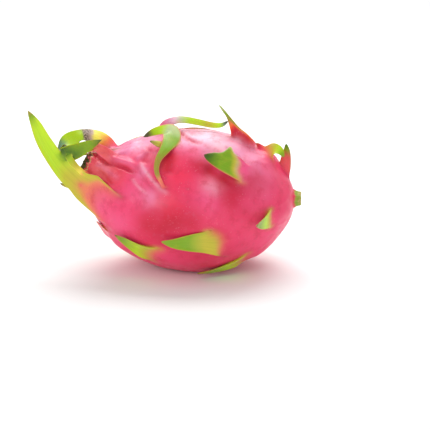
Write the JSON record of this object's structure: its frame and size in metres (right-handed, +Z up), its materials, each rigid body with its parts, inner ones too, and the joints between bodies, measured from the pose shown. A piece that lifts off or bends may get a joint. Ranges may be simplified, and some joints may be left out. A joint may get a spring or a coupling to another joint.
{
  "type": "dragon fruit",
  "caption": "Whole dragon fruit lying on its side: fleshy ovoid body with pointed bracts, long curling ones at the crown round a dried flower scar, and a cut stem end.",
  "frame": {"origin": "middle of the small flat spot on the belly that the fruit rests on", "axes": "+Z up, away from the table; +X towards the stem end, along the body; -X towards the crown end with the flower scar; -Y towards the side the picture shows"},
  "size_m": [0.1786, 0.108, 0.1103],
  "materials": {
    "rind": "smooth waxy plant skin, soft sheen; pink-red body, bracts turning orange, yellow-green and green to their tips"
  },
  "bodies": {
    "root": {"dragon_fruit": "rind"}
  },
  "joints": []
}
